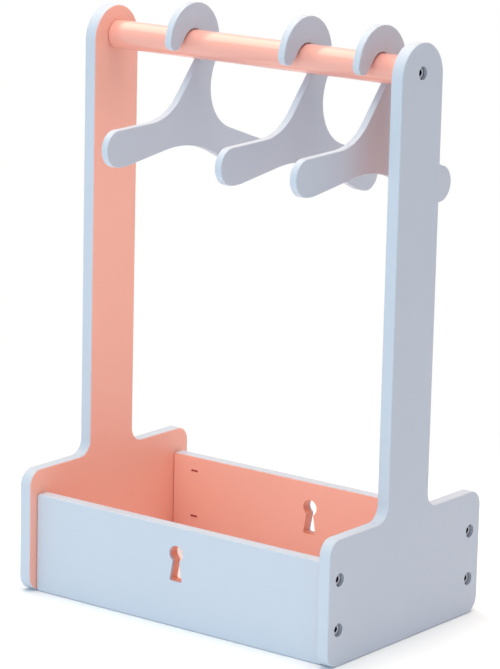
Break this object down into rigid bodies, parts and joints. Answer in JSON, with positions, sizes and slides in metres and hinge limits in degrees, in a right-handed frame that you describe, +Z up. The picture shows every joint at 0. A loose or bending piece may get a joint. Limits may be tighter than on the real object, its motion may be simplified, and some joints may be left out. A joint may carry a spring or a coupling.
{
  "type": "doll clothes rack",
  "caption": "Open doll wardrobe: T-shaped side boards, a low storage box with keyhole cut-outs between their feet, a round rail on top and flat hook hangers that swing on it.",
  "frame": {"origin": "centre of the rack's footprint, on the ground", "axes": "+X along the rail to the right board, +Y to the back, +Z up"},
  "size_m": [0.296, 0.1997, 0.4587],
  "materials": {
    "two_tone_board": "satin paint, a very pale cool white, with the inner face coral",
    "white_board": "satin paint, a very pale cool white",
    "coral_rail": "satin coral paint",
    "white_hanger": "satin paint, a very pale cool white",
    "bolt_steel": "dark zinc-plated steel",
    "painted_nut": "steel with a coral painted end"
  },
  "bodies": {
    "rack": {"left_side_panel": "two_tone_board", "right_side_panel": "two_tone_board", "front_panel": "two_tone_board", "back_panel": "two_tone_board", "floor_panel": "white_board", "rail": "coral_rail", "bolt_lower_front_right": "bolt_steel", "bolt_upper_front_right": "bolt_steel", "bolt_lower_front_left": "bolt_steel", "bolt_upper_front_left": "bolt_steel", "bolt_lower_back_right": "bolt_steel", "bolt_upper_back_right": "bolt_steel", "bolt_lower_back_left": "bolt_steel", "bolt_upper_back_left": "bolt_steel", "nut_lower_front_right": "painted_nut", "nut_upper_front_right": "painted_nut", "nut_lower_front_left": "painted_nut", "nut_upper_front_left": "painted_nut", "nut_lower_back_right": "painted_nut", "nut_upper_back_right": "painted_nut", "nut_lower_back_left": "painted_nut", "nut_upper_back_left": "painted_nut", "rail_bolt_right": "bolt_steel", "rail_bolt_left": "bolt_steel", "rail_insert_right": "bolt_steel", "rail_insert_left": "bolt_steel"},
    "left_hanger": {"hanger_left": "white_hanger"},
    "middle_hanger": {"hanger_middle": "white_hanger"},
    "right_hanger": {"hanger_right": "white_hanger"}
  },
  "joints": [
    {"name": "left_hanger_swing", "type": "hinge", "parent": "rack", "child": "left_hanger", "pos_m": [-0.06431, 0, 0.427], "axis": [1, 0, 0], "range_deg": [-40, 40]},
    {"name": "middle_hanger_swing", "type": "hinge", "parent": "rack", "child": "middle_hanger", "pos_m": [0.04195, 0, 0.427], "axis": [1, 0, 0], "range_deg": [-40, 40]},
    {"name": "right_hanger_swing", "type": "hinge", "parent": "rack", "child": "right_hanger", "pos_m": [0.1093, 0, 0.427], "axis": [1, 0, 0], "range_deg": [-40, 40]}
  ]
}
